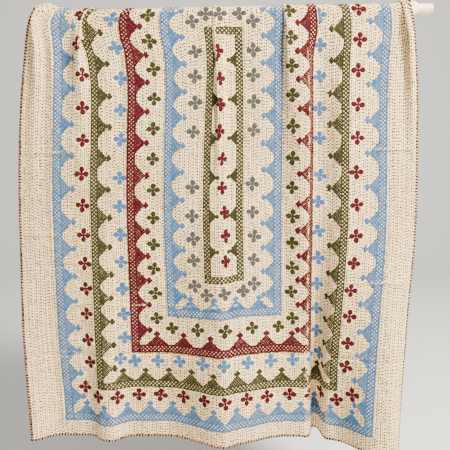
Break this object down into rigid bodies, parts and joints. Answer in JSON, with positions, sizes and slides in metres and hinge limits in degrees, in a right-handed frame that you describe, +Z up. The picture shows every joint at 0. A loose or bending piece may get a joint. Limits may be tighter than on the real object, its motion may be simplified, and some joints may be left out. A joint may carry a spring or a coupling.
{
  "type": "kantha quilt on a wall rod",
  "caption": "Rectangular kantha quilt hung over a round wall rod, long fall in front, short fall behind, with knife pleats and soft folds, on turned wall brackets.",
  "frame": {"origin": "centre of the left bracket's wall face, at the height of the rod's axis", "axes": "+X along the rod to the right as seen from the room, +Y into the wall, +Z up"},
  "size_m": [1.512, 0.2337, 1.6286],
  "materials": {
    "quilt": "undyed cotton, matt, hand quilted",
    "rod": "cream paint, satin",
    "end_cap": "cream paint, satin",
    "bracket": "cream paint, satin"
  },
  "bodies": {
    "root": {"quilt": "quilt", "rod": "rod", "end_cap_left": "end_cap", "end_cap_right": "end_cap", "bracket_left": "bracket", "bracket_right": "bracket"}
  },
  "joints": []
}
